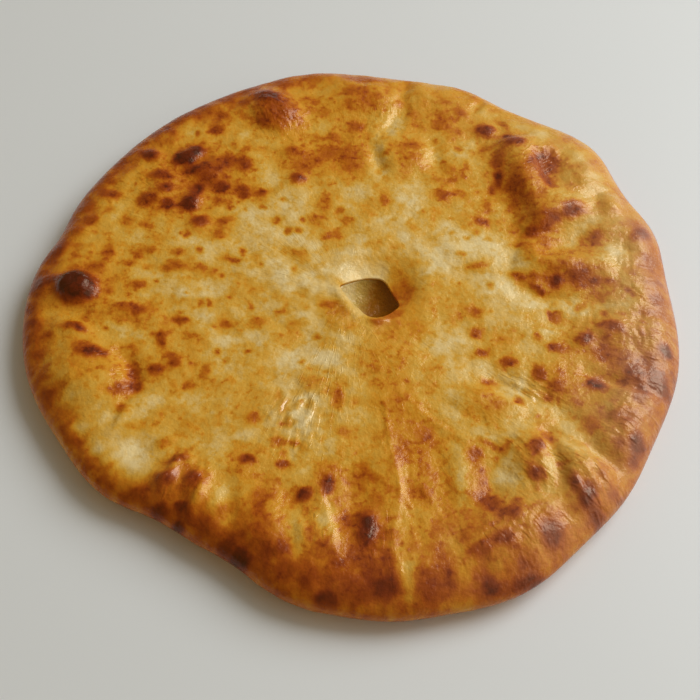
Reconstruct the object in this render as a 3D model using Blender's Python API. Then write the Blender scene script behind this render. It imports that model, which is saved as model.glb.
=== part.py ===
"""Flat round potato pie: a leavened dough crust closed round a layer of mashed potato.

The crust is one solid. Its hollow holds the potato and opens only at the steam vent torn in the top,
through which the potato shows. Units are metres, +Z up. The origin lies on the surface that the pie
rests on, under the middle of its outline, and the pie is seen from the front, along +Y.
"""

import math

import bmesh
import bpy
import numpy as np

MM = 0.001

# Driving dimensions
MEAN_RADIUS = 160.5 * MM  # of the outline, before it swells and flattens
SIDE_HEIGHT = 9.0 * MM  # where the side bulges out furthest
CROWN_HEIGHT = 18.0 * MM  # of the top, away from the edge, the folds and the vent
EDGE_ROUNDING = 18.0 * MM  # width of the stretch over which the top rolls down to the side
RIM_INSET = 24.0 * MM  # from the outline in to the middle of the raised rim
RIM_HALF_WIDTH = 15.0 * MM
UNDERCUT = 8.0 * MM  # how far the foot of the side stands back from its bulge
CRUST_THICKNESS = 3.2 * MM  # of dough above the potato
FLOOR_THICKNESS = 3.5 * MM  # of dough below the potato
POTATO_INSET = 24.0 * MM  # from the outline in to the edge of the hollow
CLEARANCE = 0.4 * MM  # between the potato and the dough round it
LIP_THICKNESS = 1.5 * MM  # of the dough at the torn edge of the vent
LIP_ROUNDING = 0.6 * MM  # of that edge
VENT_CENTRE = (11.0 * MM, -2.0 * MM)
VENT_POTATO_HEIGHT = 7.0 * MM  # of the potato under the vent, where it has sunk
VENT_POTATO_SHARE = 0.85  # of the way out to the vent's edge that the sunken potato reaches
VENT_SQUARENESS = 9  # how tight the torn corners of the vent are
VENT_THINNING = 1 / 6  # share of the way from the vent to the hollow's edge over which the dough thins

# Faceting
EDGE_SEGMENTS = 144  # round the outline
INNER_SEGMENTS = 72  # round the vent and the hollow
UNDERCUT_STEPS = 3
EDGE_STEPS = 6  # rings over the rounding of the top's edge
OUTER_RINGS = 14  # over the top, from the edge rounding to the change of segments
INNER_RINGS = 8  # from there to the vent
OUTER_SHARE = 0.66  # of the way in to the vent that the finer rings cover
HOLLOW_RINGS = 6
HOLLOW_EDGE_STEPS = 2
FOLD_STEPS = 12  # short runs that a curved fold is made of

# Swells of the outline, and of the raised rim: (bearing in degrees, swell in mm, half width in degrees)
OUTLINE_SWELLS = (
    (15, 4.5, 8),
    (38, 9.5, 10),
    (67, 3.5, 7),
    (98, 4.0, 13),
    (150, -3.5, 16),
    (165, -4.0, 7),
    (214, -6.0, 14),
    (236, -14.0, 11),
    (250, -10.0, 9),
    (278, 4.5, 10),
    (296, 9.0, 12),
    (317, 4.0, 11),
    (345, 3.0, 12),
)
RIM_SWELLS = (
    (8, 2.4, 26),
    (105, 0.8, 30),
    (190, 1.2, 34),
    (255, 1.6, 16),
    (305, 2.4, 34),
)

# Torn sides of the vent: (bearing that the side faces in degrees, distance from the vent's middle in mm)
VENT_SIDES = (
    (23, 12.2),
    (88, 14.4),
    (123, 13.8),
    (218, 9.1),
    (270, 13.6),
    (315, 14.2),
)

# Mounds and hollows of the top:
# (x, y, half length, half width in mm, turn in degrees, rise in mm, squareness: 2 is soft, 4 a pad)
MOUNDS = (
    # The dip round the vent, deeper behind and to the right of it
    (17, 5, 17, 16, 0, -5.8, 2.9),
    # Back right: the pad by the pit, the round bumps by the edge and the bump behind the pit
    (122, 78, 14, 9, -50, 1.8, 2.6),
    (137, 57, 7, 6, 60, 2.2, 2.8),
    (150, 33, 11, 8, 80, 1.8, 2.4),
    (90, 101, 9, 7, 10, 1.8, 2.4),
    # Right: lumps of the blistered rim
    (127, -24, 9, 8, 10, 2.0, 2.4),
    (112, -29, 6, 6, 0, 1.3, 2.4),
    (148, -28, 12, 9, 85, 1.6, 2.4),
    (150, 0, 13, 10, 85, 1.2, 2.4),
    # Front right: lobes between the folds
    (133, -72, 24, 15, 58, 2.8, 3.4),
    (107, -108, 22, 12, -50, 3.2, 3.2),
    (82, -91, 14, 11, -70, 3.4, 2.8),
    (80, -101, 9, 6, 10, 1.2, 2.4),
    (74, -128, 22, 13, 20, 2.4, 3.0),
    # Front: ridges that run out to the edge, with scorched blisters between them
    (-13, -123, 24, 11, 88, 1.0, 2.4),
    (-34, -126, 16, 11, 70, 0.9, 2.4),
    (34, -144, 14, 9, 80, 0.8, 2.4),
    (7, -126, 8, 5, 90, 1.4, 2.6),
    # Front left: curls of dough at the flattened edge
    (-78, -106, 13, 8, 60, 2.2, 2.6),
    (-66, -110, 13, 5, 78, 1.8, 2.6),
    # Left: a rounded lobe, the scorched blister behind it, and small bumps between them
    (-122, -48, 20, 15, -38, 3.2, 3.2),
    (-134, 2, 9, 8.5, -20, 5.0, 5.0),
    (-149, 5, 8, 5, 5, 1.6, 2.4),
    (-131, -23, 7, 5, -10, 1.5, 2.4),
    (-104, -12, 10, 5, -20, 0.9, 2.4),
    # Back left: scorched bubbles
    (-86, 91, 8, 5, 38, 2.0, 2.6),
    (-107, 92, 7, 5, -20, 1.5, 2.4),
    (-98, 64, 10, 8, -30, 1.6, 2.6),
    (-82, 60, 7, 5, 50, 1.6, 2.4),
    (-98, 76, 9, 5, -10, 1.1, 2.4),
    (-78, 80, 10, 6, 10, 1.1, 2.4),
    (-77, 44, 6, 5, 0, 1.0, 2.4),
    # Back: lumps near the edge, and the round one with a groove about it
    (-41, 125, 17, 12, -48, 4.2, 2.8),
    (-27, 75, 6, 5, 60, 1.3, 2.4),
    (-28, 94, 9, 6, 60, 1.0, 2.4),
    (9, 137, 16, 12, 0, 2.2, 2.8),
    (30, 92, 16, 14, 0, 2.0, 2.8),
    (54, 132, 18, 12, -20, 1.4, 2.6),
    (75, 110, 6, 5, -20, 1.4, 2.4),
    # The flat middle sags a little to the left and the front
    (-60, -40, 60, 45, 30, -1.4, 2.0),
    (60, -30, 30, 22, -20, -1.0, 2.0),
)

# Folds and grooves of the top, each a crest over three points:
# (start x, y, middle x, y, end x, y, rise, half width to the left and to the right along it, all in mm)
FOLDS = (
    # Back right: the steep inner face of the thick pad, which stands above the flat middle, and its pit
    (86, 104, 94, 74, 103, 38, 7.4, 22.0, 10.0),
    (101, 94, 104, 79, 108, 63, -4.4, 13.0, 4.0),
    # The fold across the pad, and the hollow in front of it
    (90, 38, 106, 48, 124, 55, 3.4, 8.0, 4.0),
    (94, 24, 108, 27, 126, 35, -2.0, 6.0, 6.0),
    # Right: the next pad, whose crescent face curves about the flat middle
    (84, 22, 106, 17, 134, 15, 4.6, 12.0, 10.0),
    (82, 9, 96, -3, 124, -4, -1.2, 2.5, 6.0),
    # The crease in the right edge
    (108, -46, 130, -56, 151, -61, -2.8, 4.5, 2.6),
    # Front right: the valley that runs out from the middle, and the sharp crest beside it
    (60, -50, 90, -62, 110, -86, -2.0, 6.0, 7.0),
    (104, -82, 113, -92, 122, -99, -2.4, 5.0, 3.0),
    (92, -80, 98, -91, 117, -102, 2.4, 3.0, 8.0),
    (50, -68, 63, -59, 82, -72, 2.2, 4.0, 11.0),
    (90, -76, 92, -92, 95, -112, -2.8, 4.0, 4.0),
    (49, -86, 50, -100, 53, -116, 1.0, 5.0, 7.0),
    (60, -96, 62, -108, 60, -120, -1.0, 5.0, 5.0),
    # Front: the long pleat, sharp on its right, and the valleys on either side
    (16, -44, 19, -92, 22, -150, 0.5, 4.0, 7.0),
    (26, -80, 29, -104, 30, -146, -0.5, 5.0, 6.0),
    (40, -86, 41, -104, 40, -130, -0.9, 6.0, 6.0),
    (2, -92, 3, -114, 4, -150, -1.3, 6.0, 6.0),
    (-25, -104, -24, -120, -22, -142, -1.2, 5.0, 5.0),
    (-54, -98, -52, -112, -50, -132, -1.2, 4.0, 4.0),
    # Left: the creases round the lobe, and the valleys at the flattened edge
    (-112, -34, -101, -46, -101, -60, -2.2, 4.0, 4.0),
    (-150, -16, -138, -12, -124, -14, -1.4, 5.0, 5.0),
    (-88, -82, -97, -92, -106, -98, -1.2, 6.0, 6.0),
    # Back: the grooves beside the round lump, and notches in the edge
    (13, 104, 15, 90, 20, 78, -2.0, 4.0, 4.0),
    (44, 106, 47, 92, 44, 78, -1.6, 4.5, 4.5),
    (32, 132, 25, 118, 18, 106, -1.8, 4.0, 4.0),
    (34, 152, 32, 142, 28, 132, -1.2, 4.0, 4.0),
    (70, 122, 73, 131, 79, 139, -1.4, 3.0, 3.0),
    # Faint pulls in the dough round the vent
    (-8, 4, -22, 14, -36, 30, -0.7, 4.0, 4.0),
    (-8, -12, -22, -30, -40, -52, -0.7, 5.0, 5.0),
    (40, 6, 60, 9, 82, 10, -0.6, 5.0, 5.0),
)


def swell_sum(bearings, swells):
    """Sum of soft swells over the bearings in radians."""
    total = np.zeros(np.shape(bearings))
    for at, swell, width in swells:
        off = np.angle(np.exp(1j * (bearings - math.radians(at))))
        total += swell * MM * np.exp(-((off / math.radians(width)) ** 2))
    return total


def outline_radius(bearings):
    return MEAN_RADIUS + swell_sum(bearings, OUTLINE_SWELLS)


def vent_radius(bearings):
    """Distance from the vent's middle to its torn edge: straight sides that meet in rounded corners."""
    total = np.zeros(np.shape(bearings))
    for facing, distance in VENT_SIDES:
        toward = np.clip(np.cos(bearings - math.radians(facing)), 0, None)
        total += (toward / (distance * MM)) ** VENT_SQUARENESS
    return total ** (-1 / VENT_SQUARENESS)


def mound_rise(x, y, mound):
    """Rise of one mound over the points x, y."""
    centre_x, centre_y, half_length, half_width, turn, rise, squareness = mound
    cos_turn, sin_turn = math.cos(math.radians(turn)), math.sin(math.radians(turn))
    off_x, off_y = x / MM - centre_x, y / MM - centre_y
    along = (off_x * cos_turn + off_y * sin_turn) / half_length
    across = (off_y * cos_turn - off_x * sin_turn) / half_width
    return rise * MM * np.exp(-((along**2 + across**2) ** (squareness / 2)))


def fold_rise(x, y, fold):
    """Rise of one fold over the points x, y: full along the middle of its crest, and fading at its ends."""
    start, middle, end = (np.array(fold[at : at + 2], float) for at in (0, 2, 4))
    rise, left_width, right_width = fold[6:9]
    bend = 2 * middle - (start + end) / 2
    shares = np.linspace(0, 1, FOLD_STEPS + 1)[:, None]
    crest = (1 - shares) ** 2 * start + 2 * shares * (1 - shares) * bend + shares**2 * end
    nearest = np.full(np.shape(x), np.inf)
    result = np.zeros(np.shape(x))
    for step, (first, second) in enumerate(zip(crest, crest[1:])):
        run = second - first
        off_x, off_y = x / MM - first[0], y / MM - first[1]
        share = np.clip((off_x * run[0] + off_y * run[1]) / (run @ run), 0, 1)
        away = np.hypot(off_x - share * run[0], off_y - share * run[1])
        width = np.where(run[0] * off_y - run[1] * off_x > 0, left_width, right_width)
        fade = np.sin(math.pi * (step + share) / FOLD_STEPS) ** 0.7
        closer = away < nearest
        nearest = np.where(closer, away, nearest)
        result = np.where(closer, rise * MM * fade * np.exp(-((away / width) ** 2)), result)
    return result


def smooth_height(x, y):
    """Top of the pie without its rim, folds and lumps: flat, with the dip round the vent."""
    return CROWN_HEIGHT + mound_rise(x, y, MOUNDS[0])


def crown_height(x, y, inset):
    """Top of the pie before its edge is rounded over."""
    rim = swell_sum(np.arctan2(y, x), RIM_SWELLS) * np.exp(-(((inset - RIM_INSET) / RIM_HALF_WIDTH) ** 2))
    height = smooth_height(x, y) + rim
    for mound in MOUNDS[1:]:
        height = height + mound_rise(x, y, mound)
    for fold in FOLDS:
        height = height + fold_rise(x, y, fold)
    return height


def top_height(x, y):
    """Top of the pie, rolled down over the edge rounding to the bulge of the side."""
    inset = outline_radius(np.arctan2(y, x)) - np.hypot(x, y)
    share = np.clip(inset / EDGE_ROUNDING, 0, 1)
    roll = np.sqrt(1 - (1 - share) ** 2)
    return SIDE_HEIGHT + (crown_height(x, y, inset) - SIDE_HEIGHT) * roll


def bearings_of(segments):
    return np.linspace(0, 2 * math.pi, segments, endpoint=False)


def ring(x, y, z):
    """Points of one closed ring."""
    return np.column_stack([x, y, np.broadcast_to(z, np.shape(x))])


def inset_ring(bearings, inset, z=None):
    """Ring that follows the outline at a distance inside it, on the top or at the height z."""
    radius = outline_radius(bearings) - inset
    x, y = radius * np.cos(bearings), radius * np.sin(bearings)
    return ring(x, y, top_height(x, y) if z is None else z)


def vent_ring(bearings, outset, z=None):
    """Ring that follows the torn edge of the vent at a distance outside it."""
    radius = vent_radius(bearings) + outset
    x = VENT_CENTRE[0] + radius * np.cos(bearings)
    y = VENT_CENTRE[1] + radius * np.sin(bearings)
    return ring(x, y, top_height(x, y) if z is None else z)


def between(outer, inner, share):
    """Ring on the top, that share of the way from the ring outer to the ring inner."""
    plan = outer * (1 - share) + inner * share
    return ring(plan[:, 0], plan[:, 1], top_height(plan[:, 0], plan[:, 1]))


def side_rings(bearings):
    """Foot and bulge of the side, and the rolled edge of the top above it."""
    rings = []
    for step in range(UNDERCUT_STEPS):
        angle = math.pi / 2 * (1 - step / UNDERCUT_STEPS)
        level = SIDE_HEIGHT * (1 - math.sin(angle))
        rings.append(inset_ring(bearings, UNDERCUT * (1 - math.cos(angle)), level))
    for step in range(EDGE_STEPS + 1):
        angle = math.pi / 2 * step / EDGE_STEPS
        rings.append(inset_ring(bearings, EDGE_ROUNDING * (1 - math.cos(angle))))
    return rings


def top_rings():
    """Rings over the top, from the edge rounding in to the lip of the vent, with fewer points near it."""
    fine, coarse = bearings_of(EDGE_SEGMENTS), bearings_of(INNER_SEGMENTS)
    rings = []
    for step in range(1, OUTER_RINGS + 1):
        share = OUTER_SHARE * step / OUTER_RINGS
        rings.append(between(inset_ring(fine, EDGE_ROUNDING), vent_ring(fine, LIP_ROUNDING), share))
    for step in range(1, INNER_RINGS + 1):
        share = OUTER_SHARE + (1 - OUTER_SHARE) * step / INNER_RINGS
        rings.append(between(inset_ring(coarse, EDGE_ROUNDING), vent_ring(coarse, LIP_ROUNDING), share))
    return rings


def lip_ring():
    """The torn edge of the vent, where its rounding ends and its wall begins."""
    bearings = bearings_of(INNER_SEGMENTS)
    edge = vent_ring(bearings, 0)
    edge[:, 2] = vent_ring(bearings, LIP_ROUNDING)[:, 2] - LIP_ROUNDING
    return edge


def hollow_height(x, y, share):
    """Ceiling of the hollow, that share of the way from the vent to the hollow's edge."""
    lip = np.clip(1 - share / VENT_THINNING, 0, 1)
    return smooth_height(x, y) - CRUST_THICKNESS + (CRUST_THICKNESS - LIP_THICKNESS) * lip


def hollow_rings(gap):
    """Ceiling, edge and floor of the hollow, drawn in by gap to give the outside of the potato."""
    bearings = bearings_of(INNER_SEGMENTS)
    inner, outer = vent_ring(bearings, 0), inset_ring(bearings, POTATO_INSET + gap)
    rings = []
    for step in range(HOLLOW_RINGS + 1):
        share = step / HOLLOW_RINGS
        plan = inner + (outer - inner) * share
        rings.append(ring(plan[:, 0], plan[:, 1], hollow_height(plan[:, 0], plan[:, 1], share) - gap))
    ceiling, floor = rings[-1][:, 2], FLOOR_THICKNESS + gap
    bulge = (hollow_height(0, MEAN_RADIUS, 1) - FLOOR_THICKNESS) / 3
    for step in range(1, HOLLOW_EDGE_STEPS):
        share = step / HOLLOW_EDGE_STEPS
        out = bulge * math.sin(math.pi * share)
        rings.append(inset_ring(bearings, POTATO_INSET + gap - out, ceiling + (floor - ceiling) * share))
    rings.append(inset_ring(bearings, POTATO_INSET + gap, floor))
    return rings


def bridge(bm, first, second):
    """Faces between two rings of vertices. The second has as many points as the first, or half as many."""
    count = len(second)
    ratio = len(first) // count
    for index in range(count):
        after = (index + 1) % count
        if ratio == 1:
            bm.faces.new((first[index], first[after], second[after], second[index]))
            continue
        left, middle, right = first[2 * index], first[2 * index + 1], first[2 * after]
        bm.faces.new((left, middle, second[index]))
        bm.faces.new((middle, second[after], second[index]))
        bm.faces.new((middle, right, second[after]))


def closed_mesh(name, rings, sharp_degrees):
    """Mesh through the rings in turn, closed by a flat face at its first and last ring."""
    bm = bmesh.new()
    loops = [[bm.verts.new(point) for point in points] for points in rings]
    for first, second in zip(loops, loops[1:]):
        bridge(bm, first, second)
    bm.faces.new(loops[0])
    bm.faces.new(loops[-1])
    bmesh.ops.recalc_face_normals(bm, faces=bm.faces)
    mesh = bpy.data.meshes.new(name)
    bm.to_mesh(mesh)
    bm.free()
    mesh.shade_smooth()
    mesh.set_sharp_from_angle(angle=math.radians(sharp_degrees))
    return mesh


def food_material(name, colour, roughness):
    """Plain food surface of one colour."""
    made = bpy.data.materials.new(name)
    made.use_nodes = True
    shader = made.node_tree.nodes["Principled BSDF"]
    shader.inputs["Base Color"].default_value = (*colour, 1)
    shader.inputs["Roughness"].default_value = roughness
    shader.inputs["Metallic"].default_value = 0
    return made


def add_piece(name, rings, material):
    mesh = closed_mesh(name, rings, 60)
    mesh.materials.append(material)
    piece = bpy.data.objects.new(name, mesh)
    bpy.context.scene.collection.objects.link(piece)
    return piece


def make_crust():
    """Outside of the pie, down through the vent and round the hollow, as one closed skin."""
    rings = side_rings(bearings_of(EDGE_SEGMENTS)) + top_rings() + [lip_ring()] + hollow_rings(0)
    return add_piece("crust", rings, food_material("baked_crust", (0.60, 0.33, 0.08), 0.42))


def make_potato():
    """Layer of mashed potato that fills the hollow and shows under the vent."""
    bearings = bearings_of(INNER_SEGMENTS)
    sunken = vent_ring(bearings, 0, VENT_POTATO_HEIGHT)
    sunken[:, :2] = VENT_CENTRE + VENT_POTATO_SHARE * (sunken[:, :2] - VENT_CENTRE)
    rings = [sunken] + hollow_rings(CLEARANCE)
    return add_piece("potato_filling", rings, food_material("mashed_potato", (0.55, 0.43, 0.14), 0.35))


def main():
    for old in list(bpy.data.objects):
        bpy.data.objects.remove(old)
    make_crust()
    make_potato()


main()
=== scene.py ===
"""Looks of the flat round potato pie: fine baked crust, mashed potato in the vent, light, floor and camera.

Lengths are in millimetres in the lists and in metres in the meshes. The forms of the top are those of
the CAD crust, from the same named values, and the fine relief and the browning are laid over them.
"""

import math

import bmesh
import bpy
import numpy as np
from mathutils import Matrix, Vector


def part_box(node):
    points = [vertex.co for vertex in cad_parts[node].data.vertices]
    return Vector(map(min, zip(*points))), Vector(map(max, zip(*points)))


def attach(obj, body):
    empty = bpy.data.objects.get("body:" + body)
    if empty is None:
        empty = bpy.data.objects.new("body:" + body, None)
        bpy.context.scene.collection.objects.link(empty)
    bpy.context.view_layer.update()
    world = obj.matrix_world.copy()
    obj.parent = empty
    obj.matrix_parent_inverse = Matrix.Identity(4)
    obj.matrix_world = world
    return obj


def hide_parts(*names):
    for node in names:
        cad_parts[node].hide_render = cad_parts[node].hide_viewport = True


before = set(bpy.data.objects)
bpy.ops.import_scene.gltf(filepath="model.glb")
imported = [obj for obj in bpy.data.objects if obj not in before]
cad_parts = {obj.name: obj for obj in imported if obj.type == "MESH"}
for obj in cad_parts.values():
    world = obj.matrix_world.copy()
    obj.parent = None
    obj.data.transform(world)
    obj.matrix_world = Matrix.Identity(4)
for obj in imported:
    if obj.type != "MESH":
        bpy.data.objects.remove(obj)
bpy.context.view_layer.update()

MM = 0.001

# ---- Forms of the CAD crust ----

MEAN_RADIUS = 160.5 * MM
SIDE_HEIGHT = 9.0 * MM
CROWN_HEIGHT = 18.0 * MM
EDGE_ROUNDING = 18.0 * MM
RIM_INSET = 24.0 * MM
RIM_HALF_WIDTH = 15.0 * MM
UNDERCUT = 8.0 * MM
CRUST_THICKNESS = 3.2 * MM
LIP_THICKNESS = 1.5 * MM
FLOOR_THICKNESS = 3.5 * MM
POTATO_INSET = 24.0 * MM
CLEARANCE = 0.4 * MM
LIP_ROUNDING = 0.6 * MM
VENT_CENTRE = (11.0 * MM, -2.0 * MM)
VENT_POTATO_HEIGHT = 7.0 * MM
VENT_SQUARENESS = 9
VENT_THINNING = 1 / 6  # share of the way from the vent to the hollow's edge over which the dough thins
FOLD_STEPS = 12

# Swells of the outline, and of the raised rim: (bearing in degrees, swell, half width in degrees)
OUTLINE_SWELLS = (
    (15, 4.5, 8),
    (38, 9.5, 10),
    (67, 3.5, 7),
    (98, 4.0, 13),
    (150, -3.5, 16),
    (165, -4.0, 7),
    (214, -6.0, 14),
    (236, -14.0, 11),
    (250, -10.0, 9),
    (278, 4.5, 10),
    (296, 9.0, 12),
    (317, 4.0, 11),
    (345, 3.0, 12),
)
RIM_SWELLS = (
    (8, 2.4, 26),
    (105, 0.8, 30),
    (190, 1.2, 34),
    (255, 1.6, 16),
    (305, 2.4, 34),
)

# Torn sides of the vent: (bearing that the side faces in degrees, distance from the vent's middle)
VENT_SIDES = (
    (23, 12.2),
    (88, 14.4),
    (123, 13.8),
    (218, 9.1),
    (270, 13.6),
    (315, 14.2),
)

# Mounds and hollows of the top: (x, y, half length, half width, turn in degrees, rise, squareness)
MOUNDS = (
    # The dip round the vent, deeper behind and to the right of it
    (17, 5, 17, 16, 0, -5.8, 2.9),
    # Back right: the pad by the pit, the round bumps by the edge and the bump behind the pit
    (122, 78, 14, 9, -50, 1.8, 2.6),
    (137, 57, 7, 6, 60, 2.2, 2.8),
    (150, 33, 11, 8, 80, 1.8, 2.4),
    (90, 101, 9, 7, 10, 1.8, 2.4),
    # Right: lumps of the blistered rim
    (127, -24, 9, 8, 10, 2.0, 2.4),
    (112, -29, 6, 6, 0, 1.3, 2.4),
    (148, -28, 12, 9, 85, 1.6, 2.4),
    (150, 0, 13, 10, 85, 1.2, 2.4),
    # Front right: lobes between the folds
    (133, -72, 24, 15, 58, 2.8, 3.4),
    (107, -108, 22, 12, -50, 3.2, 3.2),
    (82, -91, 14, 11, -70, 3.4, 2.8),
    (80, -101, 9, 6, 10, 1.2, 2.4),
    (74, -128, 22, 13, 20, 2.4, 3.0),
    # Front: ridges that run out to the edge, with scorched blisters between them
    (-13, -123, 24, 11, 88, 1.0, 2.4),
    (-34, -126, 16, 11, 70, 0.9, 2.4),
    (34, -144, 14, 9, 80, 0.8, 2.4),
    (7, -126, 8, 5, 90, 1.4, 2.6),
    # Front left: curls of dough at the flattened edge
    (-78, -106, 13, 8, 60, 2.2, 2.6),
    (-66, -110, 13, 5, 78, 1.8, 2.6),
    # Left: a rounded lobe, the scorched blister behind it, and small bumps between them
    (-122, -48, 20, 15, -38, 3.2, 3.2),
    (-134, 2, 9, 8.5, -20, 5.0, 5.0),
    (-149, 5, 8, 5, 5, 1.6, 2.4),
    (-131, -23, 7, 5, -10, 1.5, 2.4),
    (-104, -12, 10, 5, -20, 0.9, 2.4),
    # Back left: scorched bubbles
    (-86, 91, 8, 5, 38, 2.0, 2.6),
    (-107, 92, 7, 5, -20, 1.5, 2.4),
    (-98, 64, 10, 8, -30, 1.6, 2.6),
    (-82, 60, 7, 5, 50, 1.6, 2.4),
    (-98, 76, 9, 5, -10, 1.1, 2.4),
    (-78, 80, 10, 6, 10, 1.1, 2.4),
    (-77, 44, 6, 5, 0, 1.0, 2.4),
    # Back: lumps near the edge, and the round one with a groove about it
    (-41, 125, 17, 12, -48, 4.2, 2.8),
    (-27, 75, 6, 5, 60, 1.3, 2.4),
    (-28, 94, 9, 6, 60, 1.0, 2.4),
    (9, 137, 16, 12, 0, 2.2, 2.8),
    (30, 92, 16, 14, 0, 2.0, 2.8),
    (54, 132, 18, 12, -20, 1.4, 2.6),
    (75, 110, 6, 5, -20, 1.4, 2.4),
    # The flat middle sags a little to the left and the front
    (-60, -40, 60, 45, 30, -1.4, 2.0),
    (60, -30, 30, 22, -20, -1.0, 2.0),
)

# Folds and grooves of the top, each a crest over three points:
# (start x, y, middle x, y, end x, y, rise, half width to the left and to the right going along it)
FOLDS = (
    # Back right: the steep inner face of the thick pad, which stands above the flat middle, and its pit
    (86, 104, 94, 74, 103, 38, 7.4, 22.0, 10.0),
    (101, 94, 104, 79, 108, 63, -4.4, 13.0, 4.0),
    # The fold across the pad, and the hollow in front of it
    (90, 38, 106, 48, 124, 55, 3.4, 8.0, 4.0),
    (94, 24, 108, 27, 126, 35, -2.0, 6.0, 6.0),
    # Right: the next pad, whose crescent face curves about the flat middle
    (84, 22, 106, 17, 134, 15, 4.6, 12.0, 10.0),
    (82, 9, 96, -3, 124, -4, -1.2, 2.5, 6.0),
    # The crease in the right edge
    (108, -46, 130, -56, 151, -61, -2.8, 4.5, 2.6),
    # Front right: the valley that runs out from the middle, and the sharp crest beside it
    (60, -50, 90, -62, 110, -86, -2.0, 6.0, 7.0),
    (104, -82, 113, -92, 122, -99, -2.4, 5.0, 3.0),
    (92, -80, 98, -91, 117, -102, 2.4, 3.0, 8.0),
    (50, -68, 63, -59, 82, -72, 2.2, 4.0, 11.0),
    (90, -76, 92, -92, 95, -112, -2.8, 4.0, 4.0),
    (49, -86, 50, -100, 53, -116, 1.0, 5.0, 7.0),
    (60, -96, 62, -108, 60, -120, -1.0, 5.0, 5.0),
    # Front: the long pleat, sharp on its right, and the valleys on either side
    (16, -44, 19, -92, 22, -150, 0.5, 4.0, 7.0),
    (26, -80, 29, -104, 30, -146, -0.5, 5.0, 6.0),
    (40, -86, 41, -104, 40, -130, -0.9, 6.0, 6.0),
    (2, -92, 3, -114, 4, -150, -1.3, 6.0, 6.0),
    (-25, -104, -24, -120, -22, -142, -1.2, 5.0, 5.0),
    (-54, -98, -52, -112, -50, -132, -1.2, 4.0, 4.0),
    # Left: the creases round the lobe, and the valleys at the flattened edge
    (-112, -34, -101, -46, -101, -60, -2.2, 4.0, 4.0),
    (-150, -16, -138, -12, -124, -14, -1.4, 5.0, 5.0),
    (-88, -82, -97, -92, -106, -98, -1.2, 6.0, 6.0),
    # Back: the grooves beside the round lump, and notches in the edge
    (13, 104, 15, 90, 20, 78, -2.0, 4.0, 4.0),
    (44, 106, 47, 92, 44, 78, -1.6, 4.5, 4.5),
    (32, 132, 25, 118, 18, 106, -1.8, 4.0, 4.0),
    (34, 152, 32, 142, 28, 132, -1.2, 4.0, 4.0),
    (70, 122, 73, 131, 79, 139, -1.4, 3.0, 3.0),
    # Faint pulls in the dough round the vent
    (-8, 4, -22, 14, -36, 30, -0.7, 4.0, 4.0),
    (-8, -12, -22, -30, -40, -52, -0.7, 5.0, 5.0),
    (40, 6, 60, 9, 82, 10, -0.6, 5.0, 5.0),
)

# ---- Fine relief and browning ----

# Faceting of the fine crust, finest at the edge: (segments, share of the way in to the vent, rings)
TOP_ZONES = (
    (840, 0.42, 52),
    (420, 0.72, 36),
    (210, 1.00, 37),
)
EDGE_RINGS = 20
UNDERCUT_RINGS = 10
LIP_RINGS = 5
HOLLOW_SEGMENTS = 105
HOLLOW_RINGS = 10
UNDERSIDE_ZONES = ((105, 60), (210, 30), (420, 14))  # from the middle out: (segments, inset)
VENT_POTATO_SHARES = (0.04, 0.96, 24)  # of the way from the vent's middle: (first ring, last ring, rings)
SHARP_ANGLE = 70  # degrees, above which an edge between two faces shows

# Undulation of the dough, over the whole top and round the rim, and the warp of the browned places:
# (height, size of the lumps, seed)
UNDULATION = ((0.60, 34, 1), (0.50, 15, 2), (0.26, 7, 3))
RIM_UNDULATION = ((0.7, 17, 8), (0.5, 9, 9))
WARP_X = ((1.2, 8, 21), (0.5, 3, 22))
WARP_Y = ((1.2, 8, 23), (0.5, 3, 24))
TEXTURE_HEIGHT = 0.11 * MM
TEXTURE_SIZE = 3.4
BLISTER_RISE = 0.07  # of a scorched spot, for each millimetre of its half width
SIDE_DENTS = 0.25 * MM
CREASE_LENGTH = 3.2  # of a fine crease, times its width
STREAK_LENGTH = 4  # of a browned streak, times its width
NOISE_CELLS = 97  # after which the pattern of a noise repeats

POTATO_SINKING = 0.6 * MM  # of the potato that shows, below its height in the CAD
POTATO_LEVEL_SHARE = 0.3  # of the way from the vent's middle, over which the potato stays sunken
POTATO_SHADE_WIDTH = 26.0 * MM  # from its light side to its dark side
PAINTED_SHEEN_BEARING = -8  # of the side whose rim has the most painted sheen
PAINTED_SHEEN_WIDTH = 28.0 * MM  # of that rim with painted sheen
VENT_SMOOTHING = 26.0 * MM  # round the vent's middle, where the dough is the smoothest

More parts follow.
